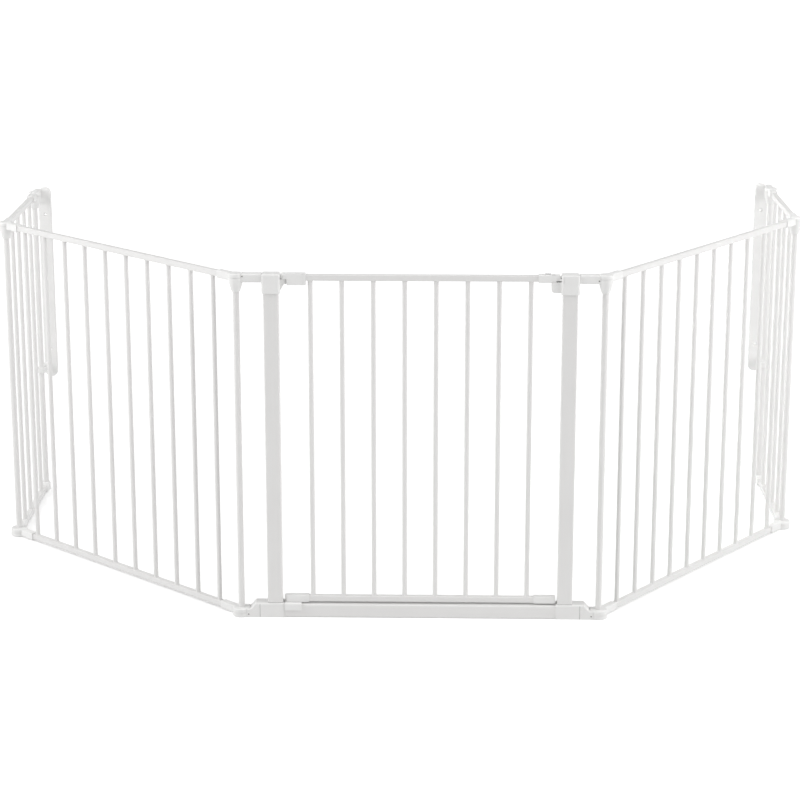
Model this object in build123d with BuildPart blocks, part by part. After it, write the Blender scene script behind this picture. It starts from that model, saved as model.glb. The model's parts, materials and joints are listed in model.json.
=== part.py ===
"""A free-standing hearth gate of five hinged sections, with a lift-and-swing door in the middle one.

Frame: the origin is the middle of the door threshold's underside, on the floor. +X runs along the closed
door to the latch side, +Y points behind the gate to the wall, and +Z is up. All lengths are in millimetres.
"""
from build123d import *
import os
from math import cos, radians, sin

os.makedirs("parts", exist_ok=True)

# ---------------------------------------------------------------- driving dimensions
# Plan of the five sections, from corner-post axis to corner-post axis
door_section = 720.0
large_section = 720.0
small_section = 330.0
large_gap_count = 11
small_gap_count = 5
left_large_bend = 42.0
left_small_bend = 91.0
right_large_bend = 52.0
right_small_bend = 92.0

# Steel tube and rod
rail_size = 12.0
rail_wall = 1.2
rail_corner = 1.6
bar_diameter = 9.6
bar_wall = 1.2
post_diameter = 12.7
post_wall = 1.2

# Heights of the rails' centre lines above the floor
top_rail_height = 700.5
bottom_rail_height = 9.5
door_floor_gap = 10.0

# Door posts and threshold
door_post_width = 30.0
door_post_depth = 24.0
door_post_wall = 1.5
door_post_corner = 3.0
door_post_inset = 68.5
door_post_foot = 8.0
threshold_height = 27.5
threshold_depth = 28.0
threshold_wall = 1.5
threshold_corner = 3.0

# Moulded connectors
socket_wall = 2.0
socket_corner = 2.5
top_hub_radius = 14.3
top_hub_neck_radius = 8.2
top_hub_neck_drop = 20.5
top_hub_flare = 8.0
bottom_hub_radius = 18.0
wall_foot_radius = 10.0
wall_foot_height = 19.0
top_reach = 46.0
bottom_reach = 54.0
bridge_depth = 20.0
bridge_height = 17.4
bridge_drop = 0.6
bridge_corner = 3.0
dome_round = 3.0
dome_rise = 0.6

# Clearances
knuckle_gap = 0.4
knuckle_side_gap = 0.5
running_clearance = 0.10
fixed_clearance = 0.05
seat_gap = 0.3
rail_seat = 1.5
merge_depth = 1.0

# Door leaf
door_bar_count = 8
door_bar_inset = 76.6
hinge_offset = 8.0
leaf_depth = 14.0
leaf_gap = 4.0
hinge_sleeve_length = 42.0
hinge_sleeve_drop = 14.8
latch_side_length = 44.5
sleeve_wall = 1.3
sleeve_round = 1.1
sleeve_chamfer = 0.9
rim_width = 0.8
rim_depth = 0.5
rim_inset = 6.0
nose_round = 2.0
upper_pin_diameter = 4.0
lower_pin_diameter = 7.0
lower_pin_foot = 8.0

# Upper hinge: the door's lug over the frame's knuckle, and the lower bearing
lug_drop = 2.7
lug_roof = 2.0
knuckle_lift_gap = 0.5
knuckle_height = 9.5
knuckle_width = 9.0
notch_reach = 5.2
notch_wall = 1.8
gusset_foot = 3.0
gusset_height = 9.0
bearing_length = 34.0
bearing_wall = 3.0
bearing_roof = 2.4
bearing_skirt = 11.5
bush_radius = 6.0
bush_length = 15.0

# Post caps and the catch beside the latch-side cap
cap_wall = 3.0
cap_drop = 30.0
cap_rise = 8.5
cap_corner = 5.0
cap_round = 3.0
cap_pocket = 10.0
post_grip = 19.0
catch_length = 19.0
catch_drop = 6.5
catch_height = 21.0
catch_depth = 16.0
catch_round = 6.0
seam_width = 1.0
seam_depth = 0.8

# Latch
housing_size = 15.6
housing_length = 25.0
housing_corner = 1.8
housing_grip = 16.0
nose_gap = 2.0
nose_rise = 6.8
nose_depth = 14.4
nose_notch_length = 8.0
nose_notch_rise = 3.0
bolt_length = 24.5
bolt_gap = 0.5
bolt_depth = 7.6
bolt_drop = 1.5
bolt_height = 5.6
bolt_chamfer = 1.2
latch_travel = 8.0
riser_length = 4.0
riser_depth = 5.2
riser_offset = 1.1
button_length = 12.0
button_depth = 9.0
button_height = 1.5
button_corner = 1.5
button_groove = 0.8
slide_clearance = 0.2

# Foot shoes
shoe_rise = 2.5
shoe_wall = 1.5
shoe_start = 9.5
shoe_slope = 11.0
shoe_round = 3.0
shoe_seam = 38.0
spigot_length = 20.0

# Wall fittings
wall_distance = 52.0
wall_top_reach = 46.0
wall_foot_reach = 30.0
plate_width = 30.0
plate_offset = 15.5
plate_thickness = 8.0
plate_length = 449.0
plate_rise = 11.0
plate_corner = 14.5
plate_chamfer = 2.0
screw_hole_radius = 2.6
screw_head_radius = 5.0
screw_inset = 64.5
ring_height = 12.0
ring_radius = 10.5
ring_lift = 22.0
arm_foot_thickness = 4.0
arm_foot_height = 28.0
arm_foot_drop = 9.0
arm_foot_inset = 3.0

# Lock screws in the door frame
screw_radius = 2.0
screw_head_height = 0.8
left_hub_screw_rise = 3.5
right_hub_screw_drop = 3.0
shoe_screw_height = 6.8
hub_screw_offset = 13.5
shoe_screw_offset = 15.0

# ---------------------------------------------------------------- worked-out dimensions
corner_x = door_section / 2
post_x = corner_x - door_post_inset
rail_half = rail_size / 2
post_radius = post_diameter / 2
socket_size = rail_size + 2 * socket_wall
socket_half = socket_size / 2
top_socket_base = top_rail_height - socket_half
top_socket_top = top_rail_height + socket_half
bottom_socket_base = bottom_rail_height - socket_half
bottom_socket_top = bottom_rail_height + socket_half
top_split = top_rail_height - knuckle_gap / 2
bottom_split = bottom_rail_height - knuckle_gap / 2
post_top = top_rail_height + rail_half - 0.5
post_foot = 2.0
bar_foot = bottom_rail_height + rail_half
bar_head = top_rail_height - rail_half
rail_start = top_hub_radius + knuckle_side_gap + rail_seat
bottom_rail_start = bottom_hub_radius + knuckle_side_gap + rail_seat

# The doorway
cap_width = door_post_width + 2 * cap_wall
cap_depth = door_post_depth + 2 * cap_wall
cap_inner = post_x - cap_width / 2
cap_base = top_rail_height - cap_drop
cap_top = top_rail_height + cap_rise
door_post_top = cap_base + post_grip
bridge_section = (bridge_depth, bridge_height, bridge_corner, bridge_drop)
bridge_end = door_post_inset - cap_width / 2 - seat_gap
short_rail_end = door_post_inset - cap_width / 2 + cap_pocket
threshold_end = cap_inner
shoe_top = threshold_height + shoe_rise
shoe_depth = threshold_depth + 2 * shoe_wall
inside_depth = threshold_depth - 2 * threshold_wall
inside_height = threshold_height - 2 * threshold_wall
bearing_top = threshold_height + bearing_roof
plate_top = top_rail_height + plate_rise
plate_base = plate_top - plate_length
left_hub_screw_height = top_rail_height + left_hub_screw_rise
right_hub_screw_height = top_rail_height - right_hub_screw_drop

# The door leaf and its hinges
hinge_axis = cap_inner - hinge_offset
door_bottom_rail_height = threshold_height + door_floor_gap
door_bar_foot = door_bottom_rail_height + rail_half
door_sleeve_base = door_bottom_rail_height - rail_half - sleeve_wall
door_sleeve_top = door_bottom_rail_height + rail_half + sleeve_wall
lug_base = top_rail_height - lug_drop
knuckle_top = lug_base - knuckle_lift_gap
knuckle_base = knuckle_top - knuckle_height
pin_top = cap_top - lug_roof
leaf_rail_start = -hinge_axis + notch_reach + notch_wall
leaf_end = post_x - door_post_width / 2 - leaf_gap
door_bar_pitch = 2 * (post_x - door_bar_inset) / (door_bar_count - 1)

# The latch
latch_side_start = cap_inner - latch_side_length
housing_end = latch_side_start + housing_length
top_rail_end = latch_side_start + housing_grip
bottom_rail_end = leaf_end - 2 * sleeve_wall
catch_start = cap_inner - catch_length
catch_top = top_rail_height - catch_drop
nose_end = cap_inner - nose_gap
nose_top = top_rail_height + nose_rise
nose_notch_top = catch_top + nose_notch_rise
bolt_end = cap_inner - bolt_gap
bolt_start = bolt_end - bolt_length
bolt_base = top_rail_height - bolt_drop
bolt_top = bolt_base + bolt_height
bolt_middle = (bolt_base + bolt_top) / 2
riser_start = bolt_start + riser_offset


# ---------------------------------------------------------------- places
def heading(origin, angle):
    """A frame on the floor at a post's axis, with its x axis turned by angle from +X."""
    direction = (cos(radians(angle)), sin(radians(angle)), 0)
    return Plane(origin=origin, x_dir=direction, z_dir=(0, 0, 1))


def along(frame, distance):
    """The point on the floor at a distance along a frame's x axis."""
    return frame.from_local_coords((distance, 0, 0))


def across(frame, distance, height):
    """The upright plane square to a frame's x axis, with its own x along the frame's y and y up."""
    origin = frame.from_local_coords((distance, 0, height))
    return Plane(origin=origin, x_dir=frame.y_dir, z_dir=frame.x_dir)


def upright(frame, height=0.0):
    """The upright plane through a frame's x axis, with its own x along the frame's and y up."""
    origin = frame.from_local_coords((0, 0, height))
    return Plane(origin=origin, x_dir=frame.x_dir, z_dir=-frame.y_dir)


def spot(frame, distance, height):
    """The level plane at a point along a frame's x axis."""
    return Plane(origin=frame.from_local_coords((distance, 0, height)), x_dir=frame.x_dir, z_dir=(0, 0, 1))


def save(piece, name):
    """Name a finished piece and write it."""
    piece.part.label = name
    export_step(piece.part, f"parts/{name}.step")


# ---------------------------------------------------------------- pieces that repeat
def make_rail(name, frame, start, end, height):
    """A square steel tube that runs from start to end along a frame."""
    with BuildPart() as rail:
        with BuildSketch(across(frame, start, height)):
            RectangleRounded(rail_size, rail_size, rail_corner)
            bore = rail_size - 2 * rail_wall
            Rectangle(bore, bore, mode=Mode.SUBTRACT)
        extrude(amount=end - start)
    save(rail, name)


def make_bars(name, frame, distances, foot, head):
    """Round uprights between two rails, one solid each."""
    with BuildPart() as bars:
        with BuildSketch(frame.offset(foot)):
            with Locations(*[(distance, 0) for distance in distances]):
                Circle(bar_diameter / 2)
                Circle(bar_diameter / 2 - bar_wall, mode=Mode.SUBTRACT)
        extrude(amount=head - foot)
    save(bars, name)


def make_corner_post(name, frame):
    """The round tube that a corner turns on."""
    with BuildPart() as post:
        with BuildSketch(frame.offset(post_foot)):
            Circle(post_radius)
            Circle(post_radius - post_wall, mode=Mode.SUBTRACT)
        extrude(amount=post_top - post_foot)
    save(post, name)


def make_top_hub(name, frame, reach, arm=(socket_size, socket_size, socket_corner, 0.0)):
    """The funnel fixed on a post's head, with the lower half of the knuckle and a rail socket along x.

    The arm round the socket has a depth, a height, a corner radius and a drop below the rail's centre line.
    """
    arm_depth, arm_height, arm_corner, arm_drop = arm
    neck_base = top_socket_base - top_hub_neck_drop
    with BuildPart() as hub:
        with BuildSketch(upright(frame)):
            with BuildLine():
                flare_start = (top_hub_neck_radius, neck_base)
                flare_end = (top_hub_radius, top_socket_base + top_hub_flare / 2)
                Line((0, neck_base), flare_start)
                Spline(flare_start, flare_end, tangents=[(0.35, 1), (0.1, 1)])
                Polyline(flare_end, (top_hub_radius, top_split), (0, top_split), (0, neck_base))
            make_face()
        revolve(axis=Axis(frame.origin, (0, 0, 1)))
        with BuildSketch(across(frame, 0, top_rail_height - arm_drop)):
            RectangleRounded(arm_depth, arm_height, arm_corner)
        extrude(amount=reach)
        with BuildSketch(frame.offset(top_split)):
            Circle(top_hub_radius + knuckle_side_gap)
        extrude(amount=arm_height, mode=Mode.SUBTRACT)
        with BuildSketch(across(frame, rail_start, top_rail_height)):
            Rectangle(rail_size, rail_size)
        extrude(amount=reach, mode=Mode.SUBTRACT)
        with BuildSketch(frame.offset(neck_base)):
            Circle(post_radius + fixed_clearance)
        extrude(amount=top_hub_neck_drop + socket_size, mode=Mode.SUBTRACT)
    save(hub, name)


def make_top_collar(name, frame, reach):
    """The domed upper half of the knuckle that turns on a post's head, with a rail socket along x."""
    base = top_rail_height + knuckle_gap / 2
    with BuildPart() as collar:
        with BuildSketch(frame.offset(base)):
            Circle(top_hub_radius)
        extrude(amount=top_socket_top + dome_rise - base)
        fillet(collar.faces().sort_by(Axis.Z)[-1].edges(), dome_round)
        with BuildSketch(across(frame, 0, top_rail_height)):
            RectangleRounded(socket_size, socket_size, socket_corner)
        extrude(amount=reach)
        with BuildSketch(frame.offset(base)):
            Circle(top_hub_radius + knuckle_side_gap)
        extrude(amount=-socket_size, mode=Mode.SUBTRACT)
        with BuildSketch(across(frame, rail_start, top_rail_height)):
            Rectangle(rail_size, rail_size)
        extrude(amount=reach, mode=Mode.SUBTRACT)
        with BuildSketch(frame.offset(base)):
            Circle(post_radius + running_clearance)
        extrude(amount=post_top + seat_gap - base, mode=Mode.SUBTRACT)
    save(collar, name)


def make_bottom_hub(name, frame, reach):
    """The lower half of the knuckle under a post's foot, with a rail socket along x."""
    with BuildPart() as hub:
        with BuildSketch(frame):
            Circle(bottom_hub_radius)
        extrude(amount=bottom_split)
        fillet(hub.faces().sort_by(Axis.Z)[0].edges(), dome_round / 2)
        with BuildSketch(across(frame, 0, bottom_rail_height)):
            RectangleRounded(socket_size, socket_size, socket_corner)
        extrude(amount=reach)
        with BuildSketch(frame.offset(bottom_split)):
            Circle(bottom_hub_radius + knuckle_side_gap)
        extrude(amount=socket_size, mode=Mode.SUBTRACT)
        with BuildSketch(across(frame, bottom_rail_start, bottom_rail_height)):
            Rectangle(rail_size, rail_size)
        extrude(amount=reach, mode=Mode.SUBTRACT)
        with BuildSketch(frame.offset(post_foot)):
            Circle(post_radius + fixed_clearance)
        extrude(amount=socket_size, mode=Mode.SUBTRACT)
    save(hub, name)


def make_bottom_collar(name, frame, reach):
    """The rounded upper half of the knuckle that turns round a post's foot, with a rail socket along x."""
    base = bottom_rail_height + knuckle_gap / 2
    with BuildPart() as collar:
        with BuildSketch(frame.offset(base)):
            Circle(bottom_hub_radius)
        extrude(amount=bottom_socket_top + dome_rise - base)
        fillet(collar.faces().sort_by(Axis.Z)[-1].edges(), dome_round)
        with BuildSketch(across(frame, 0, bottom_rail_height)):
            RectangleRounded(socket_size, socket_size, socket_corner)
        extrude(amount=reach)
        with BuildSketch(frame.offset(base)):
            Circle(bottom_hub_radius + knuckle_side_gap)
        extrude(amount=-socket_size, mode=Mode.SUBTRACT)
        with BuildSketch(across(frame, bottom_rail_start, bottom_rail_height)):
            Rectangle(rail_size, rail_size)
        extrude(amount=reach, mode=Mode.SUBTRACT)
        with BuildSketch(frame):
            Circle(post_radius + running_clearance)
        extrude(amount=socket_size * 2, mode=Mode.SUBTRACT)
    save(collar, name)


def make_wall_foot(name, frame, reach):
    """The plain foot under a section's last post, with a rail socket along x."""
    with BuildPart() as foot:
        with BuildSketch(frame):
            Circle(wall_foot_radius)
        extrude(amount=wall_foot_height)
        fillet(foot.faces().sort_by(Axis.Z)[-1].edges(), dome_round)
        with BuildSketch(across(frame, 0, bottom_rail_height)):
            RectangleRounded(socket_size, socket_size, socket_corner)
        extrude(amount=reach)
        with BuildSketch(across(frame, wall_foot_radius, bottom_rail_height)):
            Rectangle(rail_size, rail_size)
        extrude(amount=reach, mode=Mode.SUBTRACT)
        with BuildSketch(frame.offset(post_foot)):
            Circle(post_radius + fixed_clearance)
        extrude(amount=wall_foot_height, mode=Mode.SUBTRACT)
    save(foot, name)


def make_wall_arm(name, frame, inward):
    """The knuckle half and arm that carry a wall plate on the last post's head; inward is the offset's sign."""
    base = top_rail_height + knuckle_gap / 2
    arm_end = wall_distance - plate_thickness
    with BuildPart() as arm:
        with BuildSketch(frame.offset(base)):
            Circle(top_hub_radius)
        extrude(amount=top_socket_top + dome_rise - base)
        fillet(arm.faces().sort_by(Axis.Z)[-1].edges(), dome_round)
        with BuildSketch(across(frame, 0, top_rail_height)):
            RectangleRounded(socket_size, socket_size, socket_corner)
        extrude(amount=arm_end)
        with BuildSketch(frame.offset(base)):
            Circle(top_hub_radius + knuckle_side_gap)
        extrude(amount=-socket_size, mode=Mode.SUBTRACT)
        foot_width = plate_offset + plate_width / 2 + socket_half - arm_foot_inset
        with BuildSketch(across(frame, arm_end - arm_foot_thickness, top_rail_height - arm_foot_drop)):
            with Locations((inward * (foot_width / 2 - socket_half), 0)):
                RectangleRounded(foot_width, arm_foot_height, socket_corner)
        extrude(amount=arm_foot_thickness)
        with BuildSketch(frame.offset(base)):
            Circle(post_radius + running_clearance)
        extrude(amount=post_top + seat_gap - base, mode=Mode.SUBTRACT)
    save(arm, name)


def make_wall_plate(name, frame, inward):
    """The tall screw-on plate with round ends, set inward of the post, and the ring that the last post turns in."""
    arm_end = wall_distance - plate_thickness
    middle = (plate_base + plate_top) / 2
    ring_base = plate_base + ring_lift
    offset = inward * plate_offset
    front = Plane(origin=across(frame, arm_end, middle).origin, x_dir=-frame.y_dir, z_dir=-frame.x_dir)
    with BuildPart() as plate:
        with BuildSketch(across(frame, arm_end, middle)):
            with Locations((offset, 0)):
                RectangleRounded(plate_width, plate_length, plate_corner)
        extrude(amount=plate_thickness)
        chamfer(plate.faces().sort_by(Axis(frame.origin, frame.x_dir))[0].edges(), plate_chamfer)
        with Locations(front):
            screw_reach = plate_length / 2 - screw_inset
            with Locations((-offset, -screw_reach), (-offset, screw_reach)):
                CounterSinkHole(screw_hole_radius, screw_head_radius, depth=plate_thickness)
        with BuildSketch(frame.offset(ring_base)):
            Circle(ring_radius)
            with Locations((arm_end / 2, inward * ring_radius / 2)):
                Rectangle(arm_end, ring_radius)
            Circle(post_radius + running_clearance, mode=Mode.SUBTRACT)
        extrude(amount=ring_height)
    save(plate, name)


# ---------------------------------------------------------------- the side sections
def make_side(name, sign, large_bend, small_bend):
    """One large and one small hinged section with the wall plate at their end."""
    turn = 90 - 90 * sign
    large_angle = turn + sign * large_bend
    small_angle = turn + sign * small_bend
    large = heading((sign * corner_x, 0, 0), large_angle)
    outer_corner = along(large, large_section)
    large_back = heading(outer_corner, large_angle + 180)
    small = heading(outer_corner, small_angle)
    wall_end = along(small, small_section)
    small_back = heading(wall_end, small_angle + 180)
    wall = heading(wall_end, 90)

    make_top_collar(f"{name}_large_top_collar", large, top_reach)
    make_bottom_collar(f"{name}_large_bottom_collar", large, bottom_reach)
    make_rail(f"{name}_large_top_rail", large, rail_start, large_section - rail_start, top_rail_height)
    make_rail(
        f"{name}_large_bottom_rail",
        large,
        bottom_rail_start,
        large_section - bottom_rail_start,
        bottom_rail_height,
    )
    large_bars = [large_section * step / large_gap_count for step in range(1, large_gap_count)]
    make_bars(f"{name}_large_bars", large, large_bars, bar_foot, bar_head)
    make_corner_post(f"{name}_large_end_post", large_back)
    make_top_hub(f"{name}_large_top_hub", large_back, top_reach)
    make_bottom_hub(f"{name}_large_bottom_hub", large_back, bottom_reach)

    make_top_collar(f"{name}_small_top_collar", small, top_reach)
    make_bottom_collar(f"{name}_small_bottom_collar", small, bottom_reach)
    make_rail(f"{name}_small_top_rail", small, rail_start, small_section - rail_start, top_rail_height)
    make_rail(
        f"{name}_small_bottom_rail",
        small,
        bottom_rail_start,
        small_section - wall_foot_radius,
        bottom_rail_height,
    )
    small_bars = [small_section * step / small_gap_count for step in range(1, small_gap_count)]
    make_bars(f"{name}_small_bars", small, small_bars, bar_foot, bar_head)
    make_corner_post(f"{name}_small_end_post", small_back)
    make_top_hub(f"{name}_small_top_hub", small_back, wall_top_reach)
    make_wall_foot(f"{name}_small_foot", small_back, wall_foot_reach)

    make_wall_arm(f"{name}_wall_arm", wall, sign)
    make_wall_plate(f"{name}_wall_plate", wall, sign)


make_side("left", -1, left_large_bend, left_small_bend)
make_side("right", 1, right_large_bend, right_small_bend)


# ---------------------------------------------------------------- the door frame
floor = Plane.XY
front_view = Plane.XZ

with BuildPart() as threshold_bar:
    with BuildSketch(across(floor, -threshold_end, threshold_height / 2)):
        RectangleRounded(threshold_depth, threshold_height, threshold_corner)
        Rectangle(inside_depth, inside_height, mode=Mode.SUBTRACT)
    extrude(amount=2 * threshold_end)
    with BuildSketch(spot(floor, -hinge_axis, threshold_height / 2)):
        Circle(bush_radius + fixed_clearance)
    extrude(amount=threshold_height, mode=Mode.SUBTRACT)
save(threshold_bar, "threshold_bar")


def make_foot_shoe(name, frame, carries_hinge):
    """The moulded shoe that joins threshold, door post and corner post; x points to the door."""
    collar_edge = bottom_hub_radius + knuckle_side_gap
    end = corner_x - threshold_end
    with BuildPart() as shoe:
        with BuildSketch(upright(frame)):
            with BuildLine():
                Polyline(
                    (shoe_start, 0),
                    (end, 0),
                    (end, shoe_top),
                    (collar_edge + shoe_slope, shoe_top),
                    (collar_edge, bottom_socket_top),
                    (shoe_start, bottom_socket_top),
                    close=True,
                )
            make_face()
        extrude(amount=shoe_depth / 2, both=True)
        rims = shoe.faces().filter_by(lambda face: face.normal_at().Z > 0.1).edges()
        fillet(rims.filter_by(lambda edge: abs(edge.center().Y) > shoe_depth / 2 - 0.1), shoe_round)
        with BuildSketch(across(frame, end, threshold_height / 2)):
            Rectangle(inside_depth - 2 * fixed_clearance, inside_height - 2 * fixed_clearance)
        extrude(amount=spigot_length)
        with BuildSketch(frame):
            Circle(bottom_hub_radius)
        extrude(amount=bottom_split)
        with BuildSketch(frame.offset(bottom_split)):
            Circle(collar_edge)
        extrude(amount=shoe_top, mode=Mode.SUBTRACT)
        with BuildSketch(frame.offset(post_foot)):
            Circle(post_radius + fixed_clearance)
        extrude(amount=socket_size, mode=Mode.SUBTRACT)
        with BuildSketch(spot(frame, door_post_inset, door_post_foot)):
            post_fit = 2 * fixed_clearance
            RectangleRounded(door_post_width + post_fit, door_post_depth + post_fit, door_post_corner)
        extrude(amount=shoe_top, mode=Mode.SUBTRACT)
        # The seams on its front and back
        for face_y in (-shoe_depth / 2, shoe_depth / 2):
            with BuildSketch(spot(frame, shoe_seam, 0)):
                with Locations((0, face_y)):
                    Rectangle(seam_width, 2 * seam_depth)
            extrude(amount=shoe_top, mode=Mode.SUBTRACT)
        if carries_hinge:
            with BuildSketch(spot(frame, corner_x - hinge_axis, lower_pin_foot - merge_depth)):
                Circle(bush_radius + seat_gap)
            extrude(amount=threshold_height, mode=Mode.SUBTRACT)
    save(shoe, name)


def make_door_post(name, frame):
    """The wide tube at one side of the doorway."""
    with BuildPart() as post:
        with BuildSketch(spot(frame, door_post_inset, door_post_foot)):
            RectangleRounded(door_post_width, door_post_depth, door_post_corner)
            bore_width = door_post_width - 2 * door_post_wall
            bore_depth = door_post_depth - 2 * door_post_wall
            Rectangle(bore_width, bore_depth, mode=Mode.SUBTRACT)
        extrude(amount=door_post_top - door_post_foot)
    save(post, name)


def cap_body(frame):
    """The crowned block of a post cap, with its pockets for the door post and the short rail."""
    with BuildPart() as body:
        with BuildSketch(spot(frame, door_post_inset, cap_base)):
            RectangleRounded(cap_width, cap_depth, cap_corner)
        extrude(amount=cap_top - cap_base)
        fillet(body.faces().sort_by(Axis.Z)[-1].edges(), cap_round)
        with BuildSketch(spot(frame, door_post_inset, cap_base)):
            post_fit = 2 * fixed_clearance
            RectangleRounded(door_post_width + post_fit, door_post_depth + post_fit, door_post_corner)
        extrude(amount=door_post_top - cap_base, mode=Mode.SUBTRACT)
        with BuildSketch(across(frame, short_rail_end - cap_pocket, top_rail_height)):
            Rectangle(rail_size, rail_size)
        extrude(amount=cap_pocket, mode=Mode.SUBTRACT)
    return body.part


left_door = heading((-corner_x, 0, 0), 0)
right_door = heading((corner_x, 0, 0), 180)
for side, frame in (("left", left_door), ("right", right_door)):
    make_foot_shoe(f"{side}_foot_shoe", frame, side == "left")
    make_door_post(f"{side}_door_post", frame)
    make_corner_post(f"{side}_corner_post", frame)
    make_top_hub(f"{side}_corner_top_hub", frame, bridge_end, bridge_section)
    make_rail(f"{side}_short_rail", frame, rail_start, short_rail_end, top_rail_height)

# The hinge-side cap carries the knuckle of the upper hinge on a gusset
left_cap_body = cap_body(left_door)
with BuildPart() as left_post_cap:
    add(left_cap_body)
    with BuildSketch(front_view):
        with BuildLine():
            Polyline(
                (-cap_inner - merge_depth, knuckle_top),
                (-hinge_axis, knuckle_top),
                (-hinge_axis, knuckle_base),
                (-cap_inner + gusset_foot, knuckle_base - gusset_height),
                (-cap_inner - merge_depth, cap_base + cap_wall),
                close=True,
            )
        make_face()
    extrude(amount=knuckle_width / 2, both=True)
    with BuildSketch(spot(floor, -hinge_axis, knuckle_base)):
        Circle(knuckle_width / 2)
    extrude(amount=knuckle_height)
    with BuildSketch(spot(floor, -hinge_axis, knuckle_base)):
        Circle(upper_pin_diameter / 2 + running_clearance)
    extrude(amount=knuckle_height, mode=Mode.SUBTRACT)
save(left_post_cap, "left_post_cap")

# The latch-side cap carries the catch that the door's nose rests on, and takes the bolt
right_cap_body = cap_body(right_door)
with BuildPart() as right_post_cap:
    add(right_cap_body)
    with BuildSketch(across(floor, catch_start, catch_top - catch_height / 2)):
        Rectangle(catch_depth, catch_height)
    extrude(amount=cap_inner - catch_start + merge_depth)
    fillet(
        right_post_cap.edges().filter_by(Axis.Y).group_by(Axis.X)[0].sort_by(Axis.Z)[0],
        catch_round,
    )
    pocket_base = bolt_base - 2 * slide_clearance
    pocket_top = bolt_top + 2 * slide_clearance
    with BuildSketch(across(floor, cap_inner, (pocket_base + pocket_top) / 2)):
        Rectangle(bolt_depth + 4 * slide_clearance, pocket_top - pocket_base)
    extrude(amount=latch_travel, mode=Mode.SUBTRACT)
    # The seam beside the catch on the front face
    with BuildSketch(front_view.offset(cap_depth / 2 - seam_depth)):
        with Locations((cap_inner + cap_corner, (catch_top + bolt_top) / 2)):
            Rectangle(seam_width, 2 * bolt_height)
    extrude(amount=2 * seam_depth, mode=Mode.SUBTRACT)
save(right_post_cap, "right_post_cap")

# The saddle over the threshold with the bush that the lower hinge pin turns in
with BuildPart() as lower_hinge_bearing:
    bearing_start = -hinge_axis - leaf_depth / 2
    skirt_base = threshold_height - bearing_skirt
    with BuildSketch(across(floor, bearing_start, (skirt_base + bearing_top) / 2)):
        Rectangle(threshold_depth + 2 * bearing_wall, bearing_top - skirt_base)
    extrude(amount=bearing_length)
    fillet(lower_hinge_bearing.edges().filter_by(Axis.X).group_by(Axis.Z)[-1], bearing_wall / 2)
    with BuildSketch(across(floor, bearing_start, threshold_height / 2)):
        RectangleRounded(threshold_depth, threshold_height, threshold_corner)
    extrude(amount=bearing_length, mode=Mode.SUBTRACT)
    bush_base = bearing_top - bush_length
    with BuildSketch(spot(floor, -hinge_axis, bush_base)):
        Circle(bush_radius)
    extrude(amount=bush_length - bearing_roof / 2)
    with BuildSketch(spot(floor, -hinge_axis, bush_base)):
        Circle(lower_pin_diameter / 2 + running_clearance)
    extrude(amount=bush_length, mode=Mode.SUBTRACT)
save(lower_hinge_bearing, "lower_hinge_bearing")

with BuildPart() as frame_screws:
    for side, hub_screw_height in ((-1, left_hub_screw_height), (1, right_hub_screw_height)):
        hub_screw = (side * (corner_x - hub_screw_offset), hub_screw_height)
        shoe_screw = (side * (corner_x - shoe_screw_offset), shoe_screw_height)
        for depth, place in ((bridge_depth / 2, hub_screw), (shoe_depth / 2, shoe_screw)):
            with BuildSketch(front_view.offset(depth)):
                with Locations(place):
                    Circle(screw_radius)
            extrude(amount=screw_head_height)
    fillet(frame_screws.faces().filter_by(Axis.Y).group_by(Axis.Y)[0].edges(), screw_head_height / 2)
save(frame_screws, "frame_screws")


# ---------------------------------------------------------------- the door leaf
make_rail("door_top_rail", floor, leaf_rail_start, top_rail_end, top_rail_height)
make_rail("door_bottom_rail", floor, leaf_rail_start, bottom_rail_end, door_bottom_rail_height)
middle_bar = (door_bar_count - 1) / 2
door_bars = [(step - middle_bar) * door_bar_pitch for step in range(door_bar_count)]
make_bars("door_bars", floor, door_bars, door_bar_foot, bar_head)


def hinge_sleeve(base, top, rail_height):
    """A sleeve with a round end about the hinge axis, over the end of one of the leaf's rails."""
    sleeve_end = -hinge_axis + hinge_sleeve_length
    with BuildPart() as body:
        with BuildSketch(spot(floor, -hinge_axis, base)):
            Circle(leaf_depth / 2)
            with Locations((hinge_sleeve_length / 2, 0)):
                Rectangle(hinge_sleeve_length, leaf_depth)
        extrude(amount=top - base)
        fillet(body.faces().sort_by(Axis.Z)[-1].edges(), sleeve_round)
        # The groove that sets off the rim at the sleeve's open end
        with BuildSketch(across(floor, sleeve_end - rim_inset, (base + top) / 2)):
            Rectangle(2 * leaf_depth, 2 * (top - base))
            Rectangle(leaf_depth - 2 * rim_depth, top - base - 2 * rim_depth, mode=Mode.SUBTRACT)
        extrude(amount=rim_width, mode=Mode.SUBTRACT)
        with BuildSketch(across(floor, leaf_rail_start, rail_height)):
            Rectangle(rail_size, rail_size)
        extrude(amount=hinge_sleeve_length, mode=Mode.SUBTRACT)
    return body.part


# The upper sleeve ends in a lug that sits over the frame's knuckle
upper_sleeve = hinge_sleeve(top_rail_height - hinge_sleeve_drop, cap_top, top_rail_height)
with BuildPart() as door_top_hinge_sleeve:
    add(upper_sleeve)
    notch_base = top_rail_height - hinge_sleeve_drop
    with BuildSketch(spot(floor, -hinge_axis, notch_base)):
        with Locations(((notch_reach - leaf_depth) / 2, 0)):
            Rectangle(notch_reach + leaf_depth, 2 * leaf_depth)
    extrude(amount=lug_base - notch_base, mode=Mode.SUBTRACT)
    with BuildSketch(spot(floor, -hinge_axis, lug_base)):
        Circle(upper_pin_diameter / 2 + running_clearance)
    extrude(amount=pin_top - lug_base, mode=Mode.SUBTRACT)
save(door_top_hinge_sleeve, "door_top_hinge_sleeve")

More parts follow.
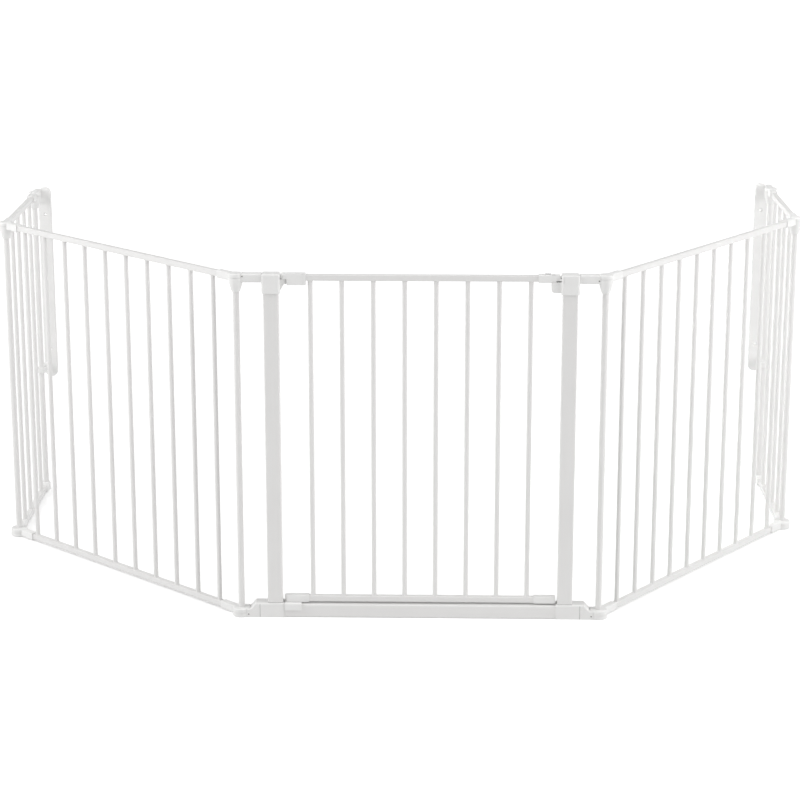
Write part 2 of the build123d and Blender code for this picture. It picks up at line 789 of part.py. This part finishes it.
lower_sleeve = hinge_sleeve(door_sleeve_base, door_sleeve_top, door_bottom_rail_height)
with BuildPart() as door_bottom_hinge_sleeve:
    add(lower_sleeve)
    with BuildSketch(spot(floor, -hinge_axis, door_sleeve_base)):
        Circle(lower_pin_diameter / 2 + running_clearance)
    extrude(amount=rail_size + sleeve_wall, mode=Mode.SUBTRACT)
save(door_bottom_hinge_sleeve, "door_bottom_hinge_sleeve")

with BuildPart() as door_bottom_latch_sleeve:
    with BuildSketch(across(floor, latch_side_start, door_bottom_rail_height)):
        RectangleRounded(leaf_depth, rail_size + 2 * sleeve_wall, sleeve_round)
    extrude(amount=leaf_end - latch_side_start)
    chamfer(door_bottom_latch_sleeve.faces().sort_by(Axis.X)[-1].edges(), sleeve_chamfer)
    with BuildSketch(across(floor, latch_side_start, door_bottom_rail_height)):
        Rectangle(rail_size, rail_size)
    extrude(amount=bottom_rail_end - latch_side_start, mode=Mode.SUBTRACT)
save(door_bottom_latch_sleeve, "door_bottom_latch_sleeve")

with BuildPart() as hinge_pins:
    with BuildSketch(spot(floor, -hinge_axis, knuckle_base + slide_clearance)):
        Circle(upper_pin_diameter / 2)
    extrude(amount=pin_top - knuckle_base - 2 * slide_clearance)
    with BuildSketch(spot(floor, -hinge_axis, lower_pin_foot)):
        Circle(lower_pin_diameter / 2)
    extrude(amount=door_sleeve_top - sleeve_wall - slide_clearance - lower_pin_foot)
save(hinge_pins, "hinge_pins")


# ---------------------------------------------------------------- the latch
with BuildPart() as latch_housing:
    with BuildSketch(across(floor, latch_side_start, top_rail_height)):
        RectangleRounded(housing_size, housing_size, housing_corner)
    extrude(amount=housing_length)
    # The nose, notched below its tip where it hangs clear of the catch
    with BuildSketch(front_view):
        with BuildLine():
            Polyline(
                (housing_end - merge_depth, catch_top + seat_gap),
                (nose_end - nose_notch_length, catch_top + seat_gap),
                (nose_end - nose_notch_length, nose_notch_top),
                (nose_end, nose_notch_top),
                (nose_end, nose_top),
                (housing_end - merge_depth, nose_top),
                close=True,
            )
        make_face()
    extrude(amount=nose_depth / 2, both=True)
    fillet(latch_housing.edges().filter_by(Axis.Y).group_by(Axis.X)[-1].sort_by(Axis.Z)[-1], nose_round)
    with BuildSketch(across(floor, latch_side_start, top_rail_height)):
        Rectangle(rail_size, rail_size)
    extrude(amount=housing_grip, mode=Mode.SUBTRACT)
    # The channel for the bolt and the slot for its button
    with BuildSketch(across(floor, bolt_start - slide_clearance, bolt_middle)):
        Rectangle(bolt_depth + 2 * slide_clearance, bolt_top - bolt_base + 2 * slide_clearance)
    extrude(amount=nose_end, mode=Mode.SUBTRACT)
    slot_length = riser_length + latch_travel + 2 * slide_clearance
    with BuildSketch(spot(floor, riser_start - slide_clearance + slot_length / 2, bolt_top)):
        Rectangle(slot_length, riser_depth + 2 * slide_clearance)
    extrude(amount=housing_size, mode=Mode.SUBTRACT)
save(latch_housing, "latch_housing")

with BuildPart() as latch_slider:
    with BuildSketch(across(floor, bolt_start, bolt_middle)):
        Rectangle(bolt_depth, bolt_top - bolt_base)
    extrude(amount=bolt_end - bolt_start)
    chamfer(latch_slider.faces().sort_by(Axis.X)[-1].edges(), bolt_chamfer)
    button_base = top_rail_height + housing_size / 2 + slide_clearance
    riser_middle = riser_start + riser_length / 2
    with BuildSketch(spot(floor, riser_middle, bolt_top)):
        Rectangle(riser_length, riser_depth)
    extrude(amount=button_base - bolt_top + button_height / 2)
    button_middle = riser_start + riser_length - button_length / 2
    with BuildSketch(spot(floor, button_middle, button_base)):
        RectangleRounded(button_length, button_depth, button_corner)
    extrude(amount=button_height)
    with BuildSketch(spot(floor, button_middle, button_base + button_height - button_groove)):
        with GridLocations(3 * button_groove, 0, 3, 1):
            Rectangle(button_groove, button_depth)
    extrude(amount=button_groove, mode=Mode.SUBTRACT)
save(latch_slider, "latch_slider")
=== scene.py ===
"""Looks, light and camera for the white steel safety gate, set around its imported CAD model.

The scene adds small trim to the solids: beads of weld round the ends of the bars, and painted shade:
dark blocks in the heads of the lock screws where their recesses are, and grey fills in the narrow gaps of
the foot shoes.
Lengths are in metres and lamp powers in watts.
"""
import json
from math import cos, pi, radians, sin

import bmesh
import bpy
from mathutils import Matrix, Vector


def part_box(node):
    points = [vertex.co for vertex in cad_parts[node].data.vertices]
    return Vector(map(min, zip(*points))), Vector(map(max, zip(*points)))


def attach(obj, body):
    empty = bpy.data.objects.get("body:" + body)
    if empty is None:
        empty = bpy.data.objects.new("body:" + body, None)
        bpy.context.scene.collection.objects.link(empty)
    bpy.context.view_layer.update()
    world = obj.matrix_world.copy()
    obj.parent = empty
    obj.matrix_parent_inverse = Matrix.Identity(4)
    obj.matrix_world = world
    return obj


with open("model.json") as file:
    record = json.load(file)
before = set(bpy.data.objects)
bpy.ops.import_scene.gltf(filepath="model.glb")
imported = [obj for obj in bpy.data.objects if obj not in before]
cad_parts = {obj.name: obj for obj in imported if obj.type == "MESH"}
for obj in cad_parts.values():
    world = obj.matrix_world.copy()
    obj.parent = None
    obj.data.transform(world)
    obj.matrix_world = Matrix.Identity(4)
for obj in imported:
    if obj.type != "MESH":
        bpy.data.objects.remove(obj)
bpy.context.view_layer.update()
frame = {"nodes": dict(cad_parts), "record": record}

# ---------------------------------------------------------------- values
# Weld beads: a profile of (outwards, along the bar) points, rippled by two waves on its way round
bar_nodes = {
    "door_bars": "door_leaf",
    "left_large_bars": "left_large",
    "left_small_bars": "left_small",
    "right_large_bars": "right_large",
    "right_small_bars": "right_small",
}
bar_radius = 0.0048
bar_reach = 0.012
bead_steps = 36
bead_profile = (
    (-0.0002, -0.0005),
    (0.0008, -0.0005),
    (0.00085, 0.0001),
    (0.00065, 0.0006),
    (0.0003, 0.001),
    (-0.0002, 0.0013),
)
ripple_count = 9
ripple_height = 0.14
swell_count = 4
swell_height = 0.07
swell_phase = 2.3
phase_per_bar = 1.7
head_phase = 0.9

# Lock screws: painted shade, a dark six-sided block in each head in place of its recess
screw_reach = 0.006
recess_sides = 6
recess_radius = 0.0012
recess_depth = 0.0004
recess_proud = 0.00004

# Foot shoes: painted shade, grey fills in the seam grooves on front and back and in the gap round each door
# post's foot
shoe_wall = 0.0015
seam_inset = 0.038
seam_half_width = 0.00055
seam_sunk = 0.0003
seam_back = 0.0009
seam_head = 0.0018
post_corner = 0.003
corner_steps = 6
gap_out = 0.00025
gap_in = -0.0004
gap_below = 0.0002
gap_above = 0.0009

# Floor: it shines a little more with distance, so that its white has no edge
floor_size = 80
floor_color = (0.86, 0.86, 0.86)
lift_start = 1.2
lift_end = 5.0
lift_near = 0.27
lift_far = 0.75

# World and dark card
world_light = 0.495
flag_distance = 3.2
flag_width = 9.0
flag_height = 2.4
flag_middle = 2.3

# Camera, solved from the photograph's straight lines
camera_place = (0.05655, -4.5612, 1.7528)
camera_dip = 15.91
camera_turn = 1.2
camera_lens = 108.3
camera_sensor = 36.0
half_pixel = 0.5 / 800


# ---------------------------------------------------------------- materials
def new_material(name, color, roughness, metallic=0.0):
    """A principled material with the values that are the same all over it."""
    material = bpy.data.materials.new(name)
    material.use_nodes = True
    shader = material.node_tree.nodes["Principled BSDF"]
    shader.inputs["Base Color"].default_value = (*color, 1.0)
    shader.inputs["Roughness"].default_value = roughness
    shader.inputs["Metallic"].default_value = metallic
    return material, shader


def node(owner, kind, **inputs):
    """A new shader node of a material or world, with some of its inputs set."""
    made = owner.node_tree.nodes.new(kind)
    for key, value in inputs.items():
        made.inputs[key.replace("_", " ")].default_value = value
    return made


def link(owner, source, output, target, name):
    """A link from a node's output to another node's input."""
    owner.node_tree.links.new(source.outputs[output], target.inputs[name])


def texture(material, kind, **inputs):
    """A texture node that is laid out in the object's own coordinates."""
    made = node(material, kind, **inputs)
    place = node(material, "ShaderNodeTexCoord")
    link(material, place, "Object", made, "Vector")
    return made


def ramp(material, stops):
    """A colour ramp from a list of (position, colour)."""
    made = material.node_tree.nodes.new("ShaderNodeValToRGB")
    elements = made.color_ramp.elements
    while len(elements) < len(stops):
        elements.new(0.5)
    for element, (position, color) in zip(elements, stops):
        element.position = position
        element.color = (*color, 1.0)
    return made


def drift_in_tone(material, shader, patches, color, shade, stops):
    """The colour goes between itself and a shade darker, patch by patch."""
    darker = [shade * value for value in color]
    tone = ramp(material, [(stops[0], darker), (stops[1], color)])
    link(material, patches, "Fac", tone, "Fac")
    link(material, tone, "Color", shader, "Base Color")


def drift_in_gloss(material, shader, patches, smoothest, roughest):
    """The roughness goes between two values, patch by patch."""
    gloss = node(material, "ShaderNodeMapRange", To_Min=smoothest, To_Max=roughest)
    link(material, patches, "Fac", gloss, "Value")
    link(material, gloss, "Result", shader, "Roughness")


def raise_grain(material, shader, grain, output, strength, distance):
    """A fine bump from a texture."""
    bump = node(material, "ShaderNodeBump", Strength=strength, Distance=distance)
    link(material, grain, output, bump, "Height")
    link(material, bump, "Normal", shader, "Normal")


def powder_coat(name, color, roughness):
    """Sprayed and baked powder paint: a fine orange peel, a slow drift in tone and a soft sheen."""
    material, shader = new_material(name, color, roughness)
    peel = texture(material, "ShaderNodeTexNoise", Scale=900.0, Detail=2.0, Roughness=0.45)
    patches = texture(material, "ShaderNodeTexNoise", Scale=7.0, Detail=3.0, Roughness=0.55)
    drift_in_tone(material, shader, patches, color, shade=0.975, stops=(0.35, 0.65))
    drift_in_gloss(material, shader, patches, roughness - 0.05, roughness + 0.07)
    raise_grain(material, shader, peel, "Fac", strength=0.12, distance=0.00012)
    return material


def moulded(name, color, roughness):
    """Moulded nylon: a faint spark-eroded grain and a little flow mottling."""
    material, shader = new_material(name, color, roughness)
    spark = texture(material, "ShaderNodeTexVoronoi", Scale=1600.0)
    patches = texture(material, "ShaderNodeTexNoise", Scale=22.0, Detail=4.0, Roughness=0.6)
    drift_in_tone(material, shader, patches, color, shade=0.965, stops=(0.3, 0.7))
    drift_in_gloss(material, shader, patches, roughness - 0.06, roughness + 0.08)
    raise_grain(material, shader, spark, "Distance", strength=0.1, distance=0.0001)
    return material


def zinc(name, color, roughness):
    """Bright zinc plate with the fine lines of a turned pin."""
    material, shader = new_material(name, color, roughness, metallic=1.0)
    lines = texture(material, "ShaderNodeTexNoise", Scale=1400.0, Detail=2.0, Roughness=0.5)
    raise_grain(material, shader, lines, "Fac", strength=0.2, distance=0.00005)
    return material


steel_white = powder_coat("powder_coat_white", (0.773, 0.767, 0.759), 0.38)
nylon_white = moulded("moulded_white", (0.832, 0.83, 0.822), 0.36)
nylon_grey = moulded("moulded_light_grey", (0.72, 0.72, 0.72), 0.42)
# Painted shade: a copy of the white nylon a shade darker, for the foot shoes, where less light reaches low
# down.
shoe_white_painted_shade = moulded("moulded_white_painted_shade", (0.802, 0.798, 0.79), 0.36)
plated = zinc("zinc_plate", (0.62, 0.62, 0.60), 0.32)
# Painted shade: near-black for the screw recesses and grey for the narrow gaps in the foot shoes.
recess_painted_shade = moulded("recess_painted_shade", (0.035, 0.035, 0.038), 0.6)
gap_painted_shade = moulded("gap_painted_shade", (0.44, 0.44, 0.435), 0.6)

slot_finishes = {
    "white_steel": steel_white,
    "white_plastic": nylon_white,
    "slider_plastic": nylon_grey,
    "steel": plated,
}
# The foot shoes take the darker copy of the white nylon: painted shade for their low place near the floor.
painted_shade_by_node = {"left_foot_shoe": shoe_white_painted_shade, "right_foot_shoe": shoe_white_painted_shade}
for part in frame["record"]["subparts"]:
    finish = painted_shade_by_node.get(part["node"], slot_finishes[part["material_slot"]])
    for holder in frame["nodes"][part["node"]].material_slots:
        holder.material = finish


# ---------------------------------------------------------------- meshes
def clusters(node_name, axes, reach):
    """The middles of a node's separate solids in the plane of two axes."""
    groups = []
    for vertex in frame["nodes"][node_name].data.vertices:
        place = Vector([vertex.co[axis] for axis in axes])
        for group in groups:
            if (group[0] - place).length < reach:
                group.append(place)
                break
        else:
            groups.append([place])
    middles = []
    for group in groups:
        lows = [min(place[axis] for place in group) for axis in (0, 1)]
        highs = [max(place[axis] for place in group) for axis in (0, 1)]
        middles.append(((lows[0] + highs[0]) / 2, (lows[1] + highs[1]) / 2))
    return middles


def join_loops(mesh, first, second):
    """Faces between two closed loops with the same number of vertices."""
    for step in range(len(first)):
        after = (step + 1) % len(first)
        mesh.faces.new((first[step], second[step], second[after], first[after]))


def join_round(mesh, loops):
    """Faces from each loop to the next and from the last to the first, as on a ring."""
    for index, loop in enumerate(loops):
        join_loops(mesh, loop, loops[(index + 1) % len(loops)])


def fill_between(mesh, first, second):
    """A closed form from one loop to another, with a face over each."""
    mesh.faces.new(first)
    mesh.faces.new(second[::-1])
    join_loops(mesh, first, second)


def new_piece(name, mesh, material, body):
    """A finished mesh as a piece that rides on a body."""
    for face in mesh.faces:
        face.smooth = True
    bmesh.ops.recalc_face_normals(mesh, faces=mesh.faces)
    data = bpy.data.meshes.new(name)
    mesh.to_mesh(data)
    mesh.free()
    data.materials.append(material)
    piece = bpy.data.objects.new(name, data)
    bpy.context.scene.collection.objects.link(piece)
    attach(piece, body)


# ---------------------------------------------------------------- weld beads
def add_bead(mesh, middle, height, upward, phase):
    """One rippled bead of weld round a bar where it meets a rail."""
    rings = []
    for step in range(bead_steps):
        turn = 2 * pi * step / bead_steps
        ripple = ripple_height * sin(ripple_count * turn + phase)
        swell = swell_height * sin(swell_count * turn + swell_phase * phase)
        growth = 1.0 + ripple + swell
        ring = []
        for out, along in bead_profile:
            radius = bar_radius + out * growth
            spot = (
                middle[0] + radius * cos(turn),
                middle[1] + radius * sin(turn),
                height + upward * along * growth,
            )
            ring.append(mesh.verts.new(spot))
        rings.append(ring)
    join_round(mesh, rings)


def make_weld_beads(bars, body):
    """The beads at both ends of all the bars in a node."""
    beads = bmesh.new()
    foot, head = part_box(bars)[0][2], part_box(bars)[1][2]
    for index, middle in enumerate(clusters(bars, (0, 1), bar_reach)):
        phase = phase_per_bar * index
        add_bead(beads, middle, foot, 1, phase)
        add_bead(beads, middle, head, -1, phase + head_phase)
    new_piece(f"{body}_weld_beads", beads, steel_white, body)


# ---------------------------------------------------------------- painted shade in the screw recesses
def screw_face(screw_x, screw_z):
    """The y of the foremost point of the lock screw at a place."""
    screw = Vector((screw_x, screw_z))
    return min(
        vertex.co.y
        for vertex in frame["nodes"]["frame_screws"].data.vertices
        if (Vector((vertex.co.x, vertex.co.z)) - screw).length < screw_reach
    )


def make_screw_recess_shade():
    """Painted shade: a dark six-sided block in the head of each lock screw, where its recess is."""
    recesses = bmesh.new()
    for screw_x, screw_z in clusters("frame_screws", (0, 2), screw_reach):
        face_y = screw_face(screw_x, screw_z)
        loops = []
        for y in (face_y - recess_proud, face_y + recess_depth):
            loop = []
            for side in range(recess_sides):
                turn = 2 * pi * side / recess_sides
                spot = (screw_x + recess_radius * cos(turn), y, screw_z + recess_radius * sin(turn))
                loop.append(recesses.verts.new(spot))
            loops.append(loop)
        fill_between(recesses, *loops)
    new_piece("frame_screw_recess_shade", recesses, recess_painted_shade, "frame")


# ---------------------------------------------------------------- painted shade in the gaps of the foot shoes
def add_block(mesh, low, high):
    """A plain block between two corners."""
    outline = ((low[0], low[1]), (high[0], low[1]), (high[0], high[1]), (low[0], high[1]))
    foot, head = ([mesh.verts.new((x, y, z)) for x, y in outline] for z in (low[2], high[2]))
    fill_between(mesh, foot, head)


def rounded_loop(mesh, low, high, out, height):
    """A loop round a door post, a little out from its faces, at one height."""
    radius = post_corner + out
    right, left = high[0] - post_corner, low[0] + post_corner
    rear, front = high[1] - post_corner, low[1] + post_corner
    loop = []
    for quarter, (x, y) in enumerate(((right, rear), (left, rear), (left, front), (right, front))):
        for step in range(corner_steps + 1):
            turn = pi / 2 * (quarter + step / corner_steps)
            loop.append(mesh.verts.new((x + radius * cos(turn), y + radius * sin(turn), height)))
    return loop


def add_seam_shade(mesh, side, inward):
    """Painted shade: grey blocks in the depth of a shoe's seam grooves, on its front and its back."""
    shoe_low, shoe_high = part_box(f"{side}_foot_shoe")
    post_low, post_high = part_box(f"{side}_corner_post")
    seam_x = (post_low[0] + post_high[0]) / 2 + inward * seam_inset
    front_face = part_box("threshold_bar")[0][1] - shoe_wall
    back_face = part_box("threshold_bar")[1][1] + shoe_wall
    for front, back in (
        (front_face + seam_sunk, front_face + seam_back),
        (back_face - seam_back, back_face - seam_sunk),
    ):
        low = (seam_x - seam_half_width, front, shoe_low[2] + seam_sunk)
        high = (seam_x + seam_half_width, back, shoe_high[2] - seam_head)
        add_block(mesh, low, high)


def add_foot_ring_shade(mesh, side):
    """Painted shade: a thin grey ring where a door post enters its shoe."""
    shoe_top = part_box(f"{side}_foot_shoe")[1][2]
    low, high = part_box(f"{side}_door_post")
    foot, head = shoe_top - gap_below, shoe_top + gap_above
    section = ((gap_out, foot), (gap_out, head), (gap_in, head), (gap_in, foot))
    join_round(mesh, [rounded_loop(mesh, low, high, out, height) for out, height in section])


def make_shoe_gap_shade():
    """Painted shade: the grey in the narrow gaps of both foot shoes."""
    gaps = bmesh.new()
    for side, inward in (("left", 1), ("right", -1)):
        add_seam_shade(gaps, side, inward)
        add_foot_ring_shade(gaps, side)
    new_piece("frame_shoe_gap_shade", gaps, gap_painted_shade, "frame")


for bars, body in bar_nodes.items():
    make_weld_beads(bars, body)
# Painted shade: dark blocks in the screw recesses and grey fills in the gaps of the foot shoes.
make_screw_recess_shade()
make_shoe_gap_shade()


# ---------------------------------------------------------------- floor, light and camera
def background_rays(owner):
    """One value that is 1 for the rays that should see the white background."""
    paths = node(owner, "ShaderNodeLightPath")
    total = node(owner, "ShaderNodeMath")
    total.operation = "ADD"
    capped = node(owner, "ShaderNodeMath")
    capped.operation = "ADD"
    capped.use_clamp = True
    links = owner.node_tree.links
    links.new(paths.outputs["Is Camera Ray"], total.inputs[0])
    links.new(paths.outputs["Is Glossy Ray"], total.inputs[1])
    links.new(total.outputs["Value"], capped.inputs[0])
    links.new(paths.outputs["Is Transmission Ray"], capped.inputs[1])
    return capped.outputs["Value"]


def make_floor():
    """A wide pale floor that shows white to the camera and keeps the gate's shadow."""
    bpy.ops.mesh.primitive_plane_add(size=floor_size, location=(0, 0, 0))
    ground = bpy.context.object
    ground.name = "floor"
    material, shader = new_material("pale_floor", floor_color, 0.9)
    shader.inputs["Specular IOR Level"].default_value = 0.1
    links = material.node_tree.links
    place = node(material, "ShaderNodeTexCoord")
    away = node(material, "ShaderNodeVectorMath")
    away.operation = "LENGTH"
    links.new(place.outputs["Object"], away.inputs[0])
    rise = node(
        material,
        "ShaderNodeMapRange",
        From_Min=lift_start,
        From_Max=lift_end,
        To_Min=lift_near,
        To_Max=lift_far,
    )
    link(material, away, "Value", rise, "Value")
    seen = node(material, "ShaderNodeMath")
    seen.operation = "MULTIPLY"
    links.new(background_rays(material), seen.inputs[0])
    links.new(rise.outputs["Result"], seen.inputs[1])
    glow = node(material, "ShaderNodeEmission")
    link(material, seen, "Value", glow, "Strength")
    join = node(material, "ShaderNodeAddShader")
    links.new(shader.outputs[0], join.inputs[0])
    links.new(glow.outputs[0], join.inputs[1])
    link(material, join, "Shader", material.node_tree.nodes["Material Output"], "Surface")
    ground.data.materials.append(material)


def make_world():
    """An even white surround: white to the camera, plain light on the gate."""
    world = bpy.data.worlds.new("studio")
    bpy.context.scene.world = world
    world.use_nodes = True
    background = world.node_tree.nodes["Background"]
    background.inputs["Color"].default_value = (1, 1, 1, 1)
    seen = node(world, "ShaderNodeMapRange", To_Min=world_light, To_Max=1.0)
    world.node_tree.links.new(background_rays(world), seen.inputs["Value"])
    link(world, seen, "Result", background, "Strength")


def make_flag():
    """A dark card behind the gate that only its gloss sees, so that the rails' back edges show on white."""
    place = (0, flag_distance, flag_middle)
    bpy.ops.mesh.primitive_plane_add(size=1, location=place, rotation=(pi / 2, 0, 0))
    flag = bpy.context.object
    flag.name = "dark_flag"
    flag.scale = (flag_width, flag_height, 1)
    flag.data.materials.append(new_material("black_card", (0.02, 0.02, 0.02), 0.9)[0])
    flag.visible_camera = False
    flag.visible_diffuse = False
    flag.visible_shadow = False


def soft_box(name, place, aim, size, power, spread=180.0):
    """A square lamp pointed at a spot on the gate, with its spread in degrees."""
    lamp = bpy.data.lights.new(name, "AREA")
    lamp.size = size
    lamp.energy = power
    lamp.spread = radians(spread)
    holder = bpy.data.objects.new(name, lamp)
    holder.location = place
    holder.rotation_euler = (Vector(aim) - Vector(place)).to_track_quat("-Z", "Y").to_euler()
    bpy.context.scene.collection.objects.link(holder)


def make_camera():
    """The photograph's view."""
    view = bpy.data.cameras.new("photo_view")
    view.sensor_width = camera_sensor
    view.lens = camera_lens
    view.clip_end = 100.0
    view.shift_x = -half_pixel
    view.shift_y = half_pixel
    camera = bpy.data.objects.new("photo_view", view)
    camera.location = camera_place
    camera.rotation_euler = (radians(90 - camera_dip), 0.0, radians(camera_turn))
    bpy.context.scene.collection.objects.link(camera)
    bpy.context.scene.camera = camera


make_floor()
make_world()
make_flag()
soft_box("right_box", place=(3.4, -0.9, 2.2), aim=(0.5, 0.4, 0.4), size=2.2, power=70.0)
soft_box("left_box", place=(-3.4, -0.9, 2.2), aim=(-0.5, 0.4, 0.4), size=2.2, power=65.0)
soft_box("top_box", place=(0.0, 0.2, 5.0), aim=(0.0, 0.4, 0.0), size=4.0, power=50.0)
# The right small panel is the brighter one in the photograph
soft_box(
    "right_wing_box",
    place=(-3.0, 1.6, 2.3),
    aim=(0.85, 0.75, 0.4),
    size=0.8,
    power=1.6,
    spread=24.0,
)
make_camera()
bpy.context.scene.view_settings.view_transform = "Standard"
